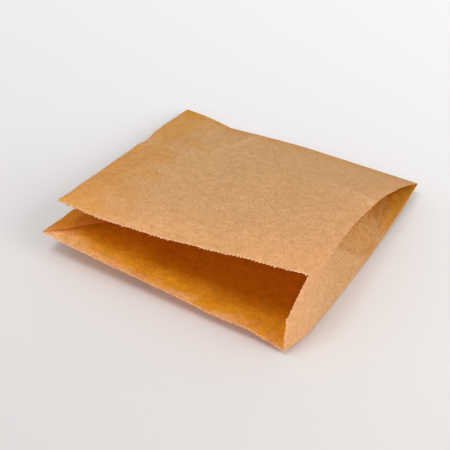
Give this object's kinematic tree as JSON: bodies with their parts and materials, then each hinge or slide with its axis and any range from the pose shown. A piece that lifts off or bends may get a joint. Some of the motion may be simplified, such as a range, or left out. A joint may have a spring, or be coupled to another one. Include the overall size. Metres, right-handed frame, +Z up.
{
  "type": "paper sandwich bag",
  "caption": "Flat kraft paper sandwich bag with side gussets and an open mouth, one gusset standing half open.",
  "frame": {"origin": "middle of the bag's footprint, on the surface it lies on", "axes": "+Z up, the mouth faces -Y, X across the mouth, mm in the part's source and metres in the row"},
  "size_m": [0.178, 0.1728, 0.0573],
  "materials": {
    "kraft_paper": "matt, faintly ribbed unbleached kraft"
  },
  "bodies": {
    "root": {"paper_bag": "kraft_paper"}
  },
  "joints": []
}
